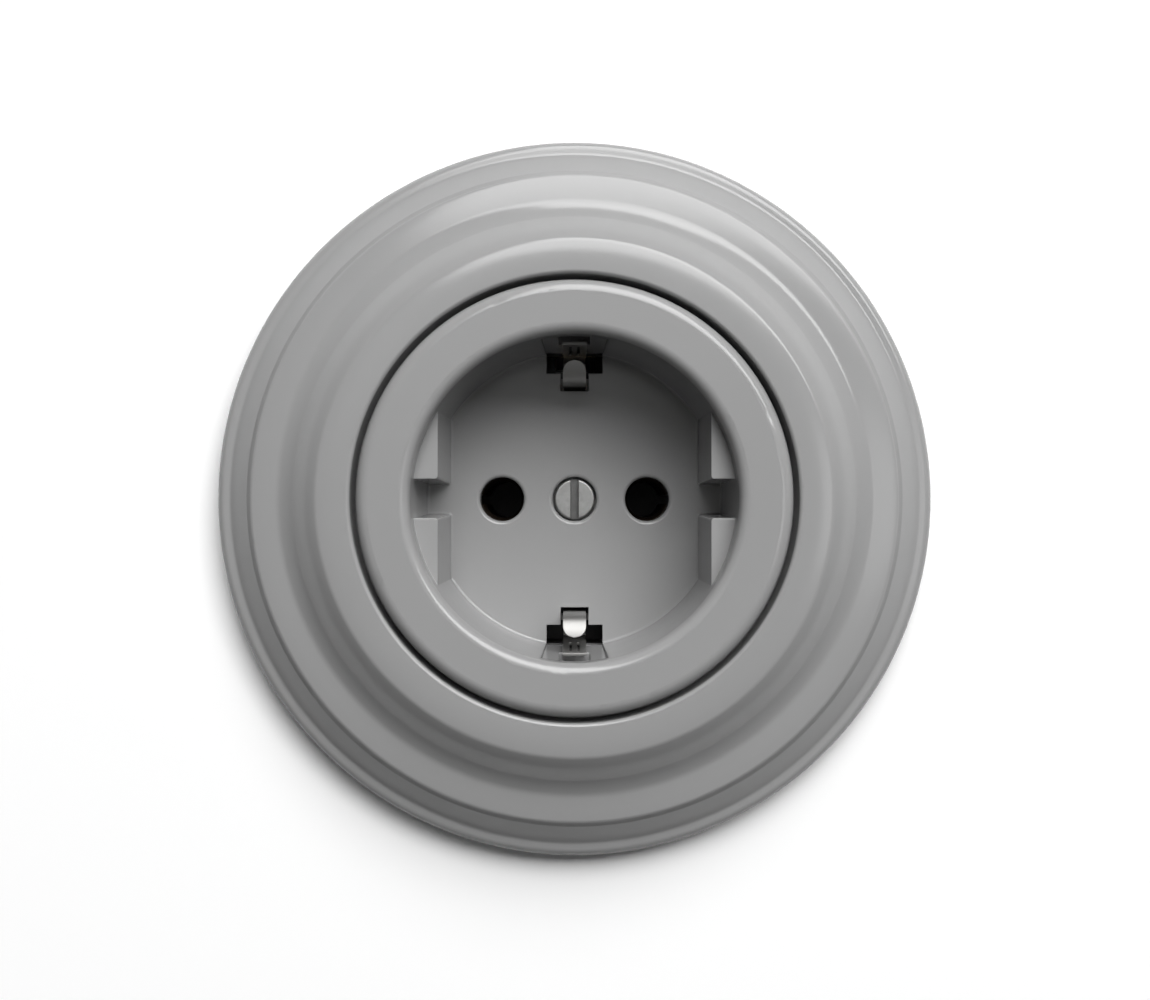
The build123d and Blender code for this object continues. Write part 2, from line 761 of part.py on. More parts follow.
# Spring sleeve of the right pole, with a leg and a tail for its terminal
with BuildPart() as line_contact:
    with BuildSketch(at_depth(chamber_y + sleeve_length)):
        with Locations((pin_x, 0)):
            Circle(sleeve_radius + contact_sheet)
            Circle(sleeve_radius, mode=Mode.SUBTRACT)
    extrude(amount=sleeve_length)
    mouth = line_contact.edges().group_by(Axis.Y)[0].sort_by(SortBy.RADIUS)[0]
    chamfer(mouth, length=sleeve_mouth)
    with BuildSketch(at_depth(chamber_y + sleeve_length)):
        with Locations((pin_x + sleeve_radius, 0)):
            Rectangle(2 * contact_sheet + sleeve_slit, sleeve_slit)
    extrude(amount=sleeve_length, mode=Mode.SUBTRACT)
    with BuildSketch(at_depth(chamber_y + leg_start + leg_length)):
        with BuildLine():
            leg_x = pin_x - sleeve_radius - contact_sheet / 2
            tail_end_x = terminal_offset + terminal_tail_width / 2
            FilletPolyline(
                (leg_x, 0),
                (leg_x, -terminal_reach),
                (tail_end_x, -terminal_reach),
                radius=bend_radius,
            )
        trace(line_width=contact_sheet)
    extrude(amount=leg_length)
    with BuildSketch(at_depth(chamber_y + terminal_tail_length)):
        with Locations((terminal_offset, -terminal_reach)):
            Rectangle(terminal_tail_width, contact_sheet)
    extrude(amount=terminal_tail_length - leg_start)
save(line_contact.part, "line_contact")
save(mirror(line_contact.part, about=Plane.YZ), "neutral_contact")

# Clamp cage of the right pole, closed around the tail and the wires
cage_inner_z = -(terminal_reach - contact_sheet / 2)
cage_top_z = cage_inner_z + cage_top
cage_low_z = cage_top_z - cage_height
with BuildPart() as line_clamp:
    with BuildSketch(at_depth(cage_y + cage_length)) as cage_section:
        with Locations((terminal_offset, (cage_top_z + cage_low_z) / 2)):
            Rectangle(cage_width, cage_height)
        fillet(cage_section.vertices(), radius=cage_side / 2)
        with Locations((terminal_offset, (cage_inner_z + cage_low_z + cage_screw_wall) / 2)):
            window_height = cage_height - cage_top - cage_screw_wall
            Rectangle(cage_width - 2 * cage_side, window_height, mode=Mode.SUBTRACT)
    extrude(amount=cage_length)
    with BuildSketch(Plane.XY.offset(cage_low_z)):
        with Locations((terminal_offset, cage_middle_y)):
            Circle(terminal_screw_radius + thread_gap)
    extrude(amount=cage_screw_wall, mode=Mode.SUBTRACT)
save(line_clamp.part, "line_clamp")
save(mirror(line_clamp.part, about=Plane.YZ), "neutral_clamp")

# Terminal screw of the right pole, opened for a wire
screw_tip_z = cage_inner_z - terminal_screw_open
with BuildPart() as line_screw:
    with BuildSketch(Plane.XY.offset(screw_tip_z)):
        with Locations((terminal_offset, cage_middle_y)):
            Circle(terminal_screw_radius)
    extrude(amount=-terminal_screw_length)
    with BuildSketch(Plane.XY.offset(screw_tip_z - terminal_screw_length)):
        with Locations((terminal_offset, cage_middle_y)):
            Circle(terminal_screw_head_radius)
    extrude(amount=terminal_screw_head_height)
    with BuildSketch(Plane.XY.offset(screw_tip_z - terminal_screw_length)):
        with Locations((terminal_offset, cage_middle_y)):
            Rectangle(3 * terminal_screw_head_radius, screw_slot)
    extrude(amount=screw_slot_depth, mode=Mode.SUBTRACT)
save(line_screw.part, "line_screw")
save(mirror(line_screw.part, about=Plane.YZ), "neutral_screw")

# The earth terminal is the same clamp and screw, turned over at the top
turned_over = Rotation(0, 180, 0)
to_the_middle = Pos(terminal_offset, 0, 0)
save(to_the_middle * turned_over * line_clamp.part, "earth_clamp")
save(to_the_middle * turned_over * line_screw.part, "earth_screw")

# Support ring: a pressed steel ring on the wall
with BuildPart() as support_ring:
    with BuildSketch(Plane.XY) as ring_section:
        with BuildLine():
            Polyline(
                (ring_bore, -ring_sheet),
                (ring_bore, 0),
                (ring_radius, 0),
                (ring_radius, -ring_sheet - ring_lip),
                (ring_radius - ring_sheet, -ring_sheet - ring_lip),
                (ring_radius - ring_sheet, -ring_sheet),
                close=True,
            )
        make_face()
        lip_foot = ring_section.vertices().sort_by_distance((ring_radius, 0))[0]
        fillet(lip_foot, radius=ring_rounding)
    revolve(axis=Axis.Y)
    with BuildSketch(at_depth(0)):
        with GridLocations(0, box_pitch, 1, 2):
            SlotOverall(box_slot_length, box_slot_width, rotation=90)
        with GridLocations(2 * claw_screw_offset, 0, 2, 1):
            Circle(claw_screw_radius + hole_gap)
        with PolarLocations(boss_circle_radius, 4, start_angle=45):
            Circle(ring_screw_radius + hole_gap)
    extrude(amount=ring_sheet, mode=Mode.SUBTRACT)
save(support_ring.part, "support_ring")

# Four screws that hold the block on the ring
with BuildPart() as ring_screws:
    with BuildSketch(at_depth(-ring_sheet)):
        with PolarLocations(boss_circle_radius, 4, start_angle=45):
            Circle(ring_screw_head_radius)
    extrude(amount=ring_screw_head_height)
    fillet(ring_screws.edges().group_by(Axis.Y)[0], radius=ring_screw_head_height / 2)
    with BuildSketch(at_depth(-ring_sheet - ring_screw_head_height)):
        with PolarLocations(boss_circle_radius, 4, start_angle=45):
            Rectangle(3 * ring_screw_head_radius, screw_slot)
    extrude(amount=-screw_slot_depth, mode=Mode.SUBTRACT)
    with BuildSketch(at_depth(-ring_sheet)):
        with PolarLocations(boss_circle_radius, 4, start_angle=45):
            Circle(ring_screw_radius)
    extrude(amount=-ring_screw_length)
save(ring_screws.part, "ring_screws")

# Three hollow rivets that hold the back plate on the block
with BuildPart() as plate_rivets:
    with BuildSketch(at_depth(block_back_y + back_plate_thickness)):
        with Locations(rivet_places):
            Circle(rivet_head_radius)
    extrude(amount=-rivet_head_height)
    fillet(plate_rivets.edges().group_by(Axis.Y)[-1], radius=rivet_head_height / 2)
    with BuildSketch(at_depth(block_back_y + back_plate_thickness)):
        with Locations(rivet_places):
            Circle(rivet_radius)
    extrude(amount=rivet_length)
    with BuildSketch(at_depth(block_back_y + back_plate_thickness + rivet_head_height)):
        with Locations(rivet_places):
            Circle(rivet_bore)
    extrude(amount=rivet_length / 2, mode=Mode.SUBTRACT)
save(plate_rivets.part, "plate_rivets")

# Right claw: a channel with toothed sides, which slides outwards on the ramps
with BuildPart() as right_claw:
    with BuildSketch(Plane.XY.offset(-claw_half_width)) as claw_side:
        with BuildLine():
            gap_x = claw_gap / cos(radians(ramp_angle))
            tooth_pitch = claw_height / (claw_tooth_count + 1)
            outline = [
                (ramp_x(claw_foot_y) + gap_x, claw_foot_y),
                (ramp_x(claw_front_y + claw_sheet) + gap_x, claw_front_y + claw_sheet),
                (claw_reach - claw_tooth_depth, claw_front_y),
            ]
            for tooth in range(claw_tooth_count):
                tooth_y = claw_front_y + (tooth + 1) * tooth_pitch
                outline.append((claw_reach, tooth_y - tooth_pitch / 2))
                outline.append((claw_reach - claw_tooth_depth, tooth_y))
            outline.append((claw_reach, claw_foot_y - claw_sheet))
            outline.append((claw_reach, claw_foot_y))
            Polyline(outline, close=True)
        make_face()
    extrude(amount=claw_sheet)
    mirror(about=Plane.XY)
    with BuildSketch(at_depth(claw_foot_y)):
        foot_start = ramp_x(claw_foot_y - claw_sheet) + gap_x
        with Locations(((foot_start + claw_reach) / 2, 0)):
            Rectangle(claw_reach - foot_start, 2 * claw_half_width)
        slot_half_width = claw_screw_radius + claw_slot_gap
        slot_shift = claw_travel * sin(radians(ramp_angle))
        with Locations((claw_screw_offset - slot_shift / 2, 0)):
            SlotCenterToCenter(slot_shift, 2 * slot_half_width, mode=Mode.SUBTRACT)
    extrude(amount=claw_sheet)
save(right_claw.part, "right_claw")
save(mirror(right_claw.part, about=Plane.YZ), "left_claw")

# Right claw screw, through the ring
with BuildPart() as right_claw_screw:
    with BuildSketch(at_depth(-ring_sheet)):
        with Locations((claw_screw_offset, 0)):
            Circle(claw_screw_head_radius)
    extrude(amount=claw_screw_head_height)
    fillet(right_claw_screw.edges().group_by(Axis.Y)[0], radius=claw_screw_head_height / 3)
    with BuildSketch(at_depth(-ring_sheet - claw_screw_head_height)):
        with Locations((claw_screw_offset, 0)):
            Rectangle(3 * claw_screw_head_radius, screw_slot)
    extrude(amount=-screw_slot_depth, mode=Mode.SUBTRACT)
    with BuildSketch(at_depth(-ring_sheet)):
        with Locations((claw_screw_offset, 0)):
            Circle(claw_screw_radius)
    extrude(amount=-claw_screw_length)
    chamfer(right_claw_screw.edges().group_by(Axis.Y)[-1], length=screw_end_chamfer)
save(right_claw_screw.part, "right_claw_screw")
save(mirror(right_claw_screw.part, about=Plane.YZ), "left_claw_screw")

# Right claw nut, which draws the claw towards the wall's face
nut_y = claw_foot_y + nut_gap
with BuildPart() as right_claw_nut:
    with BuildSketch(at_depth(nut_y + nut_thickness)):
        with Locations((claw_screw_offset, 0)):
            RectangleRounded(nut_size, nut_size, nut_rounding)
            Circle(claw_screw_radius + nut_bore_gap, mode=Mode.SUBTRACT)
    extrude(amount=nut_thickness)
save(right_claw_nut.part, "right_claw_nut")
save(mirror(right_claw_nut.part, about=Plane.YZ), "left_claw_nut")
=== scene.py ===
import bpy
import json
import bmesh
from math import atan2, ceil, cos, hypot, pi, radians, sin, sqrt, tan
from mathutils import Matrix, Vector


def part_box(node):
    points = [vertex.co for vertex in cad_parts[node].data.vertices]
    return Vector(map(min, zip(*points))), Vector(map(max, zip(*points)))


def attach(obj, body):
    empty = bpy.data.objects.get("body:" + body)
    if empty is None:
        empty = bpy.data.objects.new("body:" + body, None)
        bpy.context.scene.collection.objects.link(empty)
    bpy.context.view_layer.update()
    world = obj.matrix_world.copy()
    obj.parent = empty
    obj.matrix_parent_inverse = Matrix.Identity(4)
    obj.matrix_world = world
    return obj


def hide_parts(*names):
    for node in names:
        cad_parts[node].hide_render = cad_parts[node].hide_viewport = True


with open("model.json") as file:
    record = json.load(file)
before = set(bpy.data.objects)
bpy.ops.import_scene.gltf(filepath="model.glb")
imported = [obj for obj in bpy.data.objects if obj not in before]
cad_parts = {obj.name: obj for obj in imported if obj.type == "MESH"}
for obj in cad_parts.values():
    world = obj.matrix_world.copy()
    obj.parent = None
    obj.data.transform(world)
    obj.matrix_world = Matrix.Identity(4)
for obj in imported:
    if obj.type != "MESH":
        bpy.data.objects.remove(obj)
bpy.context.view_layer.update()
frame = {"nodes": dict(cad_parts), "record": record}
scene = bpy.context.scene
scene.view_settings.view_transform = "Standard"

# Camera, straight ahead of the socket as in the photograph; its shifts are in pixels of the photograph
PHOTO_WIDTH = 1150
SHIFT_ACROSS = 0.5
SHIFT_UP = 6.8
EYE_DISTANCE = 0.193
EYE_DROP = 0.001
eye = bpy.data.cameras.new("eye")
eye.sensor_width = 36.0
eye.lens = 47.2
eye.shift_x = SHIFT_ACROSS / PHOTO_WIDTH
eye.shift_y = SHIFT_UP / PHOTO_WIDTH
eye.clip_start = 0.01
eye.clip_end = 20.0
camera = bpy.data.objects.new("eye", eye)
camera.location = (0, -EYE_DISTANCE, -EYE_DROP)
camera.rotation_euler = (radians(90), 0, 0)
scene.collection.objects.link(camera)
scene.camera = camera

# Materials
CLOUD_DETAIL = 4.0
GRAIN_DETAIL = 2.0
RELIEF_HEIGHT = 0.0001
BEVEL_SAMPLES = 8
# Painted shade in the slot of the screw head: from GROOVE_START behind the head's front, the colour darkens
# to GROOVE_SHADE over GROOVE_FADE
GROOVE_START = 0.0001
GROOVE_FADE = 0.0003
GROOVE_SHADE = 0.45


class Nodes:
    """Small helper that builds a node tree."""

    def __init__(self, tree):
        self.tree = tree
        tree.nodes.clear()

    def add(self, kind, **values):
        node = self.tree.nodes.new(kind)
        for name, value in values.items():
            setattr(node, name, value)
        return node

    def link(self, source, output, target, entry):
        self.tree.links.new(source.outputs[output], target.inputs[entry])

    def remap(self, **values):
        """A node that maps one range of values to another; names are From_Min, From_Max, To_Min, To_Max."""
        node = self.add("ShaderNodeMapRange")
        for name, value in values.items():
            node.inputs[name.replace("_", " ")].default_value = value
        return node

    def seen_directly(self):
        """A node that is 1 for camera, mirrored and transmitted rays, and 0 for scattered light."""
        path = self.add("ShaderNodeLightPath")
        first = self.add("ShaderNodeMath", operation="MAXIMUM")
        either = self.add("ShaderNodeMath", operation="MAXIMUM")
        self.link(path, "Is Camera Ray", first, 0)
        self.link(path, "Is Glossy Ray", first, 1)
        self.link(first, "Value", either, 0)
        self.link(path, "Is Transmission Ray", either, 1)
        return either


def grained(name, colour, metallic, roughness, spread, rough_spread, scale, bump, bump_scale,
            bevel=None, painted_shade_from=None):
    """A procedural material: a base colour and roughness that vary a little, and a fine bump.

    Where bevel gives a radius, edges look rounded. Where a depth is given for painted shade, what lies deeper
    is painted darker, as shade in a recess.
    """
    material = bpy.data.materials.new(name)
    material.use_nodes = True
    nodes = Nodes(material.node_tree)
    out = nodes.add("ShaderNodeOutputMaterial")
    shader = nodes.add("ShaderNodeBsdfPrincipled")
    shader.inputs["Metallic"].default_value = metallic
    nodes.link(shader, "BSDF", out, "Surface")
    place = nodes.add("ShaderNodeTexCoord")
    cloud = nodes.add("ShaderNodeTexNoise")
    cloud.inputs["Scale"].default_value = scale
    cloud.inputs["Detail"].default_value = CLOUD_DETAIL
    nodes.link(place, "Object", cloud, "Vector")
    shade = nodes.remap(To_Min=1.0 - spread, To_Max=1.0 + spread)
    nodes.link(cloud, "Fac", shade, "Value")
    tint = nodes.add("ShaderNodeVectorMath", operation="SCALE")
    tint.inputs[0].default_value = colour
    if painted_shade_from is None:
        nodes.link(shade, "Result", tint, "Scale")
    else:
        # Painted shade: deeper than the given depth, the colour is darkened
        axes = nodes.add("ShaderNodeSeparateXYZ")
        nodes.link(place, "Object", axes, "Vector")
        painted_shade = nodes.remap(From_Min=painted_shade_from, From_Max=painted_shade_from + GROOVE_FADE,
                           To_Min=1.0, To_Max=GROOVE_SHADE)
        nodes.link(axes, "Y", painted_shade, "Value")
        tone_with_painted_shade = nodes.add("ShaderNodeMath", operation="MULTIPLY")
        nodes.link(shade, "Result", tone_with_painted_shade, 0)
        nodes.link(painted_shade, "Result", tone_with_painted_shade, 1)
        nodes.link(tone_with_painted_shade, "Value", tint, "Scale")
    nodes.link(tint, "Vector", shader, "Base Color")
    rough = nodes.remap(To_Min=roughness - rough_spread, To_Max=roughness + rough_spread)
    nodes.link(cloud, "Fac", rough, "Value")
    nodes.link(rough, "Result", shader, "Roughness")
    grain = nodes.add("ShaderNodeTexNoise")
    grain.inputs["Scale"].default_value = bump_scale
    grain.inputs["Detail"].default_value = GRAIN_DETAIL
    nodes.link(place, "Object", grain, "Vector")
    relief = nodes.add("ShaderNodeBump")
    relief.inputs["Strength"].default_value = bump
    relief.inputs["Distance"].default_value = RELIEF_HEIGHT
    nodes.link(grain, "Fac", relief, "Height")
    if bevel is not None:
        soft = nodes.add("ShaderNodeBevel")
        soft.samples = BEVEL_SAMPLES
        soft.inputs["Radius"].default_value = bevel
        nodes.link(soft, "Normal", relief, "Normal")
    nodes.link(relief, "Normal", shader, "Normal")
    return material


screw_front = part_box("cover_screw")[0][1]
plastic = grained(
    "grey_gloss_plastic", colour=(0.305, 0.305, 0.305), metallic=0.0, roughness=0.17, spread=0.012,
    rough_spread=0.02, scale=350.0, bump=0.012, bump_scale=1500.0, bevel=0.00015)
block = grained(
    "dark_thermoset", colour=(0.012, 0.012, 0.012), metallic=0.0, roughness=0.5, spread=0.2,
    rough_spread=0.04, scale=1200.0, bump=0.3, bump_scale=4000.0)
nickel = grained(
    "nickel_plate", colour=(0.30, 0.297, 0.29), metallic=1.0, roughness=0.52, spread=0.06,
    rough_spread=0.05, scale=500.0, bump=0.0, bump_scale=1500.0, bevel=0.00012)
# The screw's slot gets painted shade: deeper than just behind the head's front, its colour is darker
steel = grained(
    "dull_steel", colour=(0.30, 0.30, 0.295), metallic=1.0, roughness=0.42, spread=0.22,
    rough_spread=0.08, scale=1400.0, bump=0.02, bump_scale=2500.0, bevel=0.00012,
    painted_shade_from=screw_front + GROOVE_START)
zinc = grained(
    "zinc_plate", colour=(0.56, 0.57, 0.58), metallic=1.0, roughness=0.36, spread=0.08,
    rough_spread=0.1, scale=500.0, bump=0.1, bump_scale=2000.0)
brass = grained(
    "bare_brass", colour=(0.60, 0.42, 0.17), metallic=1.0, roughness=0.32, spread=0.07,
    rough_spread=0.08, scale=600.0, bump=0.06, bump_scale=2000.0)
# Pin contacts painted near black, as shade inside the pin holes; real bronze is lighter
shade_dark_bronze = grained(
    "bronze_painted_shade_dark", colour=(0.02, 0.015, 0.011), metallic=1.0, roughness=0.5, spread=0.1,
    rough_spread=0.08, scale=600.0, bump=0.03, bump_scale=2000.0)
slot_looks = {
    "cover_plastic": plastic,
    "block_plastic": block,
    "nickel": nickel,
    "zinc": zinc,
    "contact_brass": brass,
}
node_looks = {
    # The pin contacts take the near-black bronze that paints the shade in the pin holes
    "line_contact": shade_dark_bronze,
    "neutral_contact": shade_dark_bronze,
    "cover_screw": steel,
}
for entry in frame["record"]["subparts"]:
    piece = frame["nodes"][entry["node"]]
    material = node_looks.get(entry["node"], slot_looks[entry["material_slot"]])
    for slot in piece.material_slots:
        slot.material = material
    if not piece.material_slots:
        piece.data.materials.append(material)

# Mesh tools; half sections are (radius, depth) in millimetres
MM = 0.001
ARC_STEP = 6
LATHE_STEPS = 256
SHARP_FROM = 32
UPRIGHT = 90


class Outline:
    """A half section drawn outwards along the front of a shell; its slope is its fall, in degrees."""

    def __init__(self, radius, depth, slope, thickness):
        self.points = [(radius, depth)]
        self.slope = slope
        self.thickness = thickness
        self.hollow = []

    def run(self, width):
        """A straight stretch at the slope reached so far."""
        radius, depth = self.points[-1]
        self.points.append((radius + width, depth + width * tan(radians(self.slope))))

    def turn(self, slope, bend, backed=False):
        """An arc to a new slope, rounded where the slope grows and hollow where it eases.

        Where it is backed, the hollow back of the shell gets a point behind the arc's end.
        """
        radius, depth = self.points[-1]
        change = slope - self.slope
        side = bend if change > 0 else -bend
        steps = ceil(abs(change) / ARC_STEP) + 1
        start = radians(self.slope)
        for step in range(1, steps + 1):
            angle = start + radians(change) * step / steps
            self.points.append((radius + side * (sin(angle) - sin(start)),
                                depth + side * (cos(start) - cos(angle))))
        self.slope = slope
        if backed:
            radius, depth = self.points[-1]
            fall = radians(slope)
            self.hollow.append((radius - self.thickness * sin(fall), depth + self.thickness * cos(fall)))


def build(name, parts, material, replaced):
    """A piece from closed solids, given as points in millimetres and faces, in place of a CAD node."""
    points = []
    faces = []
    for part_points, part_faces in parts:
        first = len(points)
        points += [tuple(MM * value for value in point) for point in part_points]
        faces += [tuple(first + index for index in face) for face in part_faces]
    mesh = bpy.data.meshes.new(name)
    mesh.from_pydata(points, [], faces)
    shape = bmesh.new()
    shape.from_mesh(mesh)
    bmesh.ops.recalc_face_normals(shape, faces=shape.faces)
    shape.to_mesh(mesh)
    shape.free()
    mesh.shade_smooth()
    mesh.set_sharp_from_angle(angle=radians(SHARP_FROM))
    mesh.materials.append(material)
    made = bpy.data.objects.new(name, mesh)
    scene.collection.objects.link(made)
    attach(made, "socket")
    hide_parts(replaced)


def lathe(section):
    """A closed half section turned about the depth axis."""
    count = len(section)
    points = []
    faces = []
    for step in range(LATHE_STEPS):
        turn = 2 * pi * step / LATHE_STEPS
        points += [(radius * cos(turn), depth, radius * sin(turn)) for radius, depth in section]
        here = step * count
        after = (step + 1) % LATHE_STEPS * count
        for index in range(count):
            ahead = (index + 1) % count
            faces.append((here + index, here + ahead, after + ahead, after + index))
    return points, faces


def prism(section, half, turn):
    """A closed half section, thickened by half to each side and turned about the depth axis."""
    count = len(section)
    points = []
    for side in (-half, half):
        for radius, depth in section:
            across = radius * cos(turn) - side * sin(turn)
            up = radius * sin(turn) + side * cos(turn)
            points.append((across, depth, up))
    faces = [tuple(range(count)), tuple(range(2 * count - 1, count - 1, -1))]
    for index in range(count):
        ahead = (index + 1) % count
        faces.append((index, ahead, count + ahead, count + index))
    return points, faces


# Cover frame: its front is a chain of arcs and runs, from its bore to its outer wall
frame_low, frame_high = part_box("cover_frame")
FRAME_RADIUS = frame_high[0] / MM
FRAME_FRONT = frame_low[1] / MM
FRAME_BORE = 27.0
FRAME_WALL = 2.2
LEDGE_RADIUS = 24.3
LEDGE_FRONT = -7.5
LEDGE_BACK = -5.3
EDGE_ROUNDING = 0.45
LAND_SLOPE = 1.5
LAND_WIDTH = 1.25
CROWN_SLOPE = 8
CROWN_BEND = 19.2
BROW_SLOPE = 34
BROW_BEND = 1.2
SHOULDER_SLOPE = 50
SHOULDER_BEND = 13.5
COVE_SLOPE = 38
COVE_FILLET = 2.0
COVE_END_SLOPE = 25
COVE_BEND = 8.3
BEAD_SLOPE = 3
BEAD_FILLET = 2.1
BEAD_END_SLOPE = 8
BEAD_BEND = 31.0
STEP_SLOPE = 61
STEP_EDGE = 0.5
STEP_WIDTH = 0.62
FOOT_SLOPE = 45
FOOT_FILLET = 1.0
FOOT_END_SLOPE = 38
FOOT_BEND = 24.5
RIM_SLOPE = 2
RIM_FILLET = 0.75
RIM_ROUNDING = 1.1

bore_wall = FRAME_BORE + FRAME_WALL
inner_wall = FRAME_RADIUS - FRAME_WALL
front = Outline(FRAME_BORE, FRAME_FRONT + EDGE_ROUNDING, slope=-UPRIGHT, thickness=FRAME_WALL)
front.turn(LAND_SLOPE, EDGE_ROUNDING)
front.run(LAND_WIDTH)
front.turn(CROWN_SLOPE, CROWN_BEND, backed=True)
front.turn(BROW_SLOPE, BROW_BEND)
front.turn(SHOULDER_SLOPE, SHOULDER_BEND, backed=True)
front.turn(COVE_SLOPE, COVE_FILLET, backed=True)
front.turn(COVE_END_SLOPE, COVE_BEND, backed=True)
front.turn(BEAD_SLOPE, BEAD_FILLET, backed=True)
front.turn(BEAD_END_SLOPE, BEAD_BEND)
front.turn(STEP_SLOPE, STEP_EDGE)
front.run(STEP_WIDTH)
front.turn(FOOT_SLOPE, FOOT_FILLET, backed=True)
front.turn(FOOT_END_SLOPE, FOOT_BEND, backed=True)
front.turn(RIM_SLOPE, RIM_FILLET)
crest_radius, crest_depth = front.points[-1]
front.run(FRAME_RADIUS - crest_radius - RIM_ROUNDING * (1 - sin(radians(RIM_SLOPE))))
front.turn(UPRIGHT, RIM_ROUNDING)
hollow = front.hollow[::-1] + [(bore_wall, FRAME_FRONT + FRAME_WALL)]
frame_section = [
    (LEDGE_RADIUS, LEDGE_FRONT),
    (FRAME_BORE, LEDGE_FRONT),
    *front.points,
    (FRAME_RADIUS, 0),
    (inner_wall, 0),
    (inner_wall, crest_depth + FRAME_WALL),
    *hollow,
    (bore_wall, LEDGE_BACK),
    (LEDGE_RADIUS, LEDGE_BACK),
]

# Ribs in the hollow of the frame, which end a little inside the walls that they join
RIB_COUNT = 8
RIB_HALF = 0.7
RIB_SEAT = -1.0
RIB_SINK = 0.3
LIP_RADIUS = 34.2
LIP_SEAT = -2.5
rib_section = [
    (bore_wall - RIB_SINK, RIB_SEAT),
    (LIP_RADIUS, RIB_SEAT),
    (LIP_RADIUS, LIP_SEAT),
    (hollow[0][0], LIP_SEAT),
    *[(radius, depth - RIB_SINK) for radius, depth in hollow[1:-1]],
    (bore_wall - RIB_SINK, FRAME_FRONT + FRAME_WALL - RIB_SINK),
]
frame_parts = [lathe(frame_section)]
for rib in range(RIB_COUNT):
    frame_parts.append(prism(rib_section, RIB_HALF, 2 * pi * (rib + 0.5) / RIB_COUNT))
build("stepped_frame", frame_parts, plastic, replaced="cover_frame")

# Earth bow: strips of sheet along paths of (depth, height) in millimetres
FLOOR_DEPTH = 4.5
HUB_DEPTH = 7.55
HUB_BORE = 4.3
HUB_RADIUS = 6.5
HUB_LAP = 1.0
ARM_SHEET = 0.7
ARM_DEPTH = 12.45
ARM_HALF = 3.5
ARM_BEND = 11.0
ARM_STEP = 1.6
ARM_ROUNDING = 0.8
ARM_END = 16.4
SLIT_START = 14.0
SLIT_END = 15.5
SLIT_HALF = 1.8
ROOT_ROUNDING = 0.45
TONGUE_SHEET = 0.5
TONGUE_HALF = 1.46
TONGUE_ROOT = 14.92
TONGUE_BEND_DEPTH = -1.9
TONGUE_LEAN = 55
TONGUE_BEND = 1.6
TONGUE_TIP = (-3.9, 17.45)
TIP_FLAT = 0.02
STEM_SHEET = 0.35
STEM_HALF = 1.52
STEM_FOOT = 18.8
STEM_TOP = (-5.0, 19.4)
STEM_LEAN = (STEM_TOP[1] - STEM_FOOT) / (STEM_TOP[0] - FLOOR_DEPTH)
SLOT_NEAR = 0.34
SLOT_FAR = 0.66
SLOT_TOP = -3.4
SLOT_FOOT = FLOOR_DEPTH - 1
SHEET_CORNERS = 4
CORNER_STEPS = 8
BEND_STEPS = 10


def rounded(corners, bend):
    """A path through corners, with each inner corner rounded."""
    path = [corners[0]]
    for before, corner, after in zip(corners, corners[1:], corners[2:]):
        into = atan2(corner[1] - before[1], corner[0] - before[0])
        out_of = atan2(after[1] - corner[1], after[0] - corner[0])
        change = (out_of - into + pi) % (2 * pi) - pi
        reach = bend * tan(abs(change) / 2)
        side = bend if change > 0 else -bend
        for step in range(CORNER_STEPS + 1):
            angle = into + change * step / CORNER_STEPS
            path.append((corner[0] - reach * cos(into) + side * (sin(angle) - sin(into)),
                         corner[1] - reach * sin(into) - side * (cos(angle) - cos(into))))
    path.append(corners[-1])
    return path


def curled(path, slope, bend, end):
    """The path with an arc that turns it outwards by a slope, and a second one on to its end."""
    depth, height = path[-1]
    first = radians(slope)
    for step in range(1, BEND_STEPS + 1):
        angle = first * step / BEND_STEPS
        path.append((depth - bend * sin(angle), height + bend * (1 - cos(angle))))
    depth, height = path[-1]
    chord = hypot(end[0] - depth, end[1] - height)
    half_turn = atan2(end[1] - height, depth - end[0]) - first
    for step in range(1, BEND_STEPS + 1):
        # The chord of a part of an arc leans by its share of the turn
        leant = half_turn * step / BEND_STEPS
        length = chord * sin(leant) / sin(half_turn)
        path.append((depth - length * cos(first + leant), height + length * sin(first + leant)))
    return path


def on_stem(depth):
    """A point on the straight part of the stem."""
    return depth, STEM_FOOT + (depth - FLOOR_DEPTH) * STEM_LEAN


def band(low, high):
    """Edges that stay at one place along a strip."""
    return lambda point: (low, high)


def tongue_edges(point):
    """Edges of the tongue, which ends in a half round."""
    past = max(point[1] - (TONGUE_TIP[1] - TONGUE_HALF), 0)
    half = sqrt(max(TONGUE_HALF ** 2 - past ** 2, TIP_FLAT ** 2))
    return -half, half


def strip(path, sheet, edges):
    """A closed strip of sheet along a path; edges gives its two edges at a point of the path."""
    points = []
    faces = [(0, 1, 3, 2)]
    for index, here in enumerate(path):
        before = path[max(index - 1, 0)]
        after = path[min(index + 1, len(path) - 1)]
        length = hypot(after[0] - before[0], after[1] - before[1])
        low, high = edges(here)
        for side in (-sheet / 2, sheet / 2):
            depth = here[0] - side * (after[1] - before[1]) / length
            height = here[1] + side * (after[0] - before[0]) / length
            points += [(low, depth, height), (high, depth, height)]
    last = len(points) - SHEET_CORNERS
    for station in range(0, last, SHEET_CORNERS):
        ahead = station + SHEET_CORNERS
        for one, other in ((0, 1), (2, 3), (0, 2), (1, 3)):
            faces.append((station + one, station + other, ahead + other, ahead + one))
    faces.append((last, last + 1, last + 3, last + 2))
    return points, faces


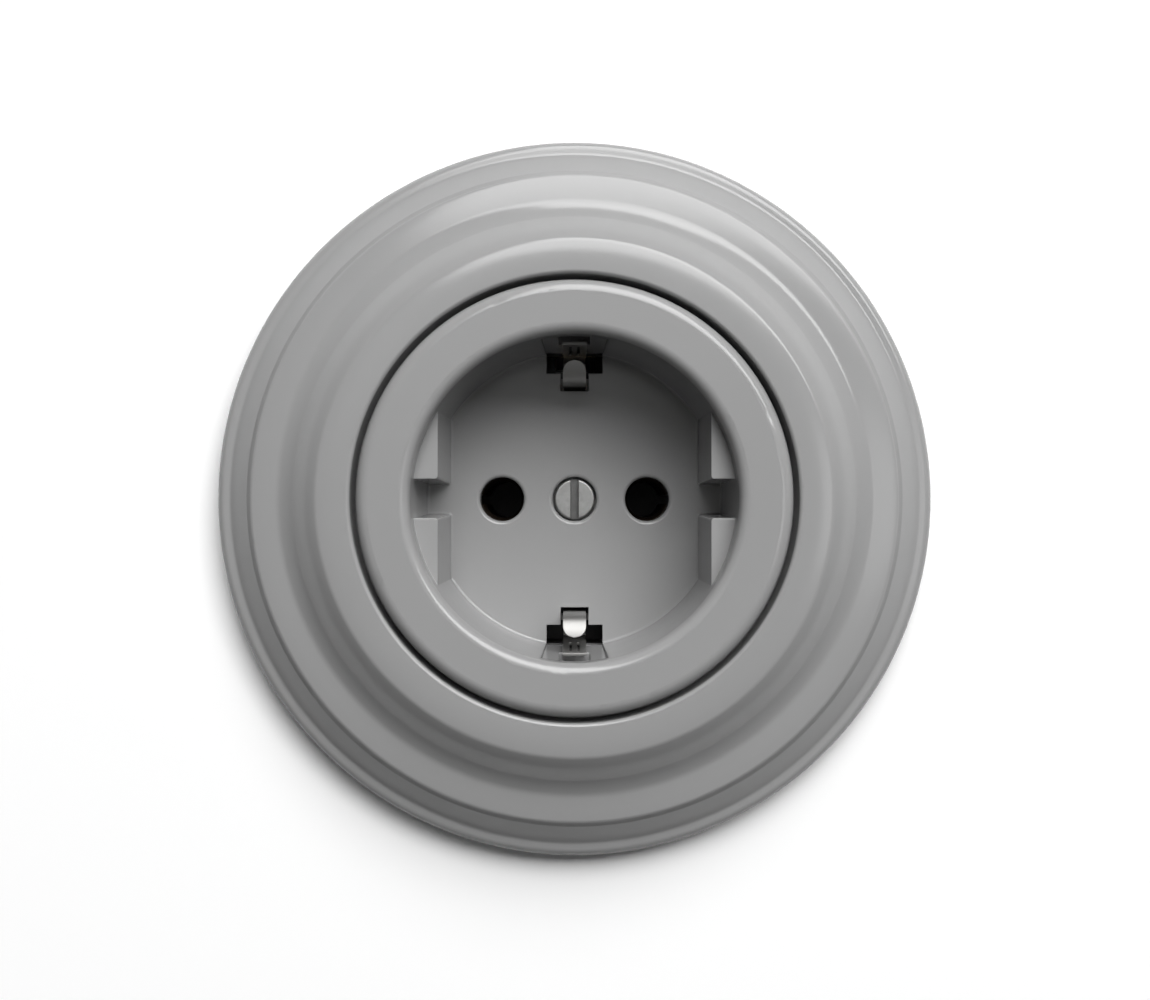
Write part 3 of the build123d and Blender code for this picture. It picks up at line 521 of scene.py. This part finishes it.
arm = rounded([
    (HUB_DEPTH, HUB_RADIUS - HUB_LAP),
    (HUB_DEPTH, ARM_BEND),
    (ARM_DEPTH, ARM_BEND + ARM_STEP),
    (ARM_DEPTH, SLIT_START),
], ARM_ROUNDING)
leg = [(ARM_DEPTH, SLIT_START), (ARM_DEPTH, SLIT_END)]
bridge = [(ARM_DEPTH, SLIT_END), (ARM_DEPTH, ARM_END)]
tongue_root = rounded([
    (ARM_DEPTH, SLIT_START),
    (ARM_DEPTH, TONGUE_ROOT),
    (TONGUE_BEND_DEPTH, TONGUE_ROOT),
], ROOT_ROUNDING)
tongue = curled(tongue_root, TONGUE_LEAN, TONGUE_BEND, TONGUE_TIP)
stem_root = rounded([
    (ARM_DEPTH, ARM_END),
    (ARM_DEPTH, STEM_FOOT),
    (FLOOR_DEPTH, STEM_FOOT),
    on_stem(SLOT_FOOT),
], ROOT_ROUNDING)
stem_slotted = [on_stem(SLOT_FOOT), on_stem(SLOT_TOP)]
stem_end = [on_stem(SLOT_TOP), STEM_TOP]
upper = [
    strip(arm, ARM_SHEET, band(-ARM_HALF, ARM_HALF)),
    strip(leg, ARM_SHEET, band(-ARM_HALF, -SLIT_HALF)),
    strip(leg, ARM_SHEET, band(SLIT_HALF, ARM_HALF)),
    strip(bridge, ARM_SHEET, band(-ARM_HALF, ARM_HALF)),
    strip(tongue, TONGUE_SHEET, tongue_edges),
    strip(stem_root, STEM_SHEET, band(-STEM_HALF, STEM_HALF)),
    strip(stem_slotted, STEM_SHEET, band(-STEM_HALF, -SLOT_FAR)),
    strip(stem_slotted, STEM_SHEET, band(-SLOT_NEAR, SLOT_NEAR)),
    strip(stem_slotted, STEM_SHEET, band(SLOT_FAR, STEM_HALF)),
    strip(stem_end, STEM_SHEET, band(-STEM_HALF, STEM_HALF)),
]
lower = [([(x, y, -z) for x, y, z in points], faces) for points, faces in upper]
hub_front = HUB_DEPTH - ARM_SHEET / 2
hub_back = HUB_DEPTH + ARM_SHEET / 2
hub = lathe([(HUB_BORE, hub_front), (HUB_RADIUS, hub_front), (HUB_RADIUS, hub_back), (HUB_BORE, hub_back)])
build("sprung_bow", [hub] + upper + lower, nickel, replaced="earth_bow")

# Wall, with a hole that ends just under the rim of the frame, so that light from behind reaches its hollow
WALL_HALF = 0.9
RIM_LAP = 0.03
HOLE_RADIUS = (FRAME_RADIUS - RIM_LAP) * MM
HOLE_STEPS = 128
hole = []
edge = []
sides = []
for step in range(HOLE_STEPS):
    turn = 2 * pi * step / HOLE_STEPS
    reach = WALL_HALF / max(abs(cos(turn)), abs(sin(turn)))
    hole.append((HOLE_RADIUS * cos(turn), 0, HOLE_RADIUS * sin(turn)))
    edge.append((reach * cos(turn), 0, reach * sin(turn)))
    after = (step + 1) % HOLE_STEPS
    sides.append((step, HOLE_STEPS + step, HOLE_STEPS + after, after))
wall_mesh = bpy.data.meshes.new("wall")
wall_mesh.from_pydata(hole + edge, [], sides)
wall = bpy.data.objects.new("wall", wall_mesh)
scene.collection.objects.link(wall)

# Paint of the wall: white where it is seen, and darker in the light that it throws back on the object.
# Seen from behind, the wall is clear.
WALL_WHITE = (0.97, 0.97, 0.97, 1)
WALL_THROWN = (0.5, 0.5, 0.5, 1)
WALL_GLOW = 0.01
paint = bpy.data.materials.new("wall_paint")
paint.use_nodes = True
nodes = Nodes(paint.node_tree)
out = nodes.add("ShaderNodeOutputMaterial")
direct = nodes.seen_directly()
tone = nodes.add("ShaderNodeMix", data_type="RGBA")
tone.inputs["A"].default_value = WALL_THROWN
tone.inputs["B"].default_value = WALL_WHITE
nodes.link(direct, "Value", tone, "Factor")
white = nodes.add("ShaderNodeBsdfDiffuse")
nodes.link(tone, "Result", white, "Color")
strength = nodes.add("ShaderNodeMath", operation="MULTIPLY")
strength.inputs[1].default_value = WALL_GLOW
nodes.link(direct, "Value", strength, 0)
glow = nodes.add("ShaderNodeEmission")
nodes.link(strength, "Value", glow, "Strength")
lit = nodes.add("ShaderNodeAddShader")
nodes.link(white, "BSDF", lit, 0)
nodes.link(glow, "Emission", lit, 1)
clear = nodes.add("ShaderNodeBsdfTransparent")
facing = nodes.add("ShaderNodeNewGeometry")
pick = nodes.add("ShaderNodeMixShader")
nodes.link(facing, "Backfacing", pick, "Fac")
nodes.link(lit, "Shader", pick, 1)
nodes.link(clear, "BSDF", pick, 2)
nodes.link(pick, "Shader", out, "Surface")
wall_mesh.materials.append(paint)

# Room: a faint light all round, and where it is mirrored, brighter above than below
AMBIENT = 0.015
ROOM_DARK = 0.12
ROOM_BRIGHT = 0.45
ROOM_SPREAD = 0.6
BRIGHT_SIDE = (0.1, 0.0, 1.0)
world = bpy.data.worlds.new("studio")
scene.world = world
world.use_nodes = True
nodes = Nodes(world.node_tree)
out = nodes.add("ShaderNodeOutputWorld")
mirrored = nodes.seen_directly()
toward = nodes.add("ShaderNodeTexCoord")
lean = nodes.add("ShaderNodeVectorMath", operation="DOT_PRODUCT")
lean.inputs[1].default_value = BRIGHT_SIDE
nodes.link(toward, "Generated", lean, 0)
room = nodes.remap(From_Min=-ROOM_SPREAD, From_Max=ROOM_SPREAD, To_Min=ROOM_DARK, To_Max=ROOM_BRIGHT)
room.interpolation_type = "SMOOTHSTEP"
nodes.link(lean, "Value", room, "Value")
strength = nodes.add("ShaderNodeMath", operation="MULTIPLY_ADD")
strength.inputs[2].default_value = AMBIENT
nodes.link(room, "Result", strength, 0)
nodes.link(mirrored, "Value", strength, 1)
sky = nodes.add("ShaderNodeBackground")
sky.inputs["Color"].default_value = (1, 1, 1, 1)
nodes.link(strength, "Value", sky, "Strength")
nodes.link(sky, "Background", out, "Surface")

# Lamps
LAMP_DISTANCE = 2.5


def softbox(name, across, up, width, height, radiance, behind=False):
    """A flat lamp parallel to the wall; its place and size are shares of its distance."""
    side = 1 if behind else -1
    lamp = bpy.data.lights.new(name, "AREA")
    lamp.shape = "RECTANGLE"
    lamp.size = width * LAMP_DISTANCE
    lamp.size_y = height * LAMP_DISTANCE
    lamp.energy = radiance * pi * lamp.size * lamp.size_y
    stand = bpy.data.objects.new(name, lamp)
    stand.location = (across * LAMP_DISTANCE, side * LAMP_DISTANCE, up * LAMP_DISTANCE)
    # A lamp shines along its own -Z, here towards the wall
    stand.rotation_euler = (radians(-90 * side), 0, 0)
    scene.collection.objects.link(stand)


softbox("top_softbox", across=0.40, up=1.42, width=1.24, height=2.12, radiance=7.4)
softbox("right_softbox", across=0.46, up=0.0, width=0.22, height=0.24, radiance=2.4)
softbox("front_card", across=-0.10, up=0.20, width=0.50, height=0.24, radiance=0.6)
softbox("back_softbox", across=0.3, up=0.7, width=1.6, height=1.2, radiance=2.6, behind=True)
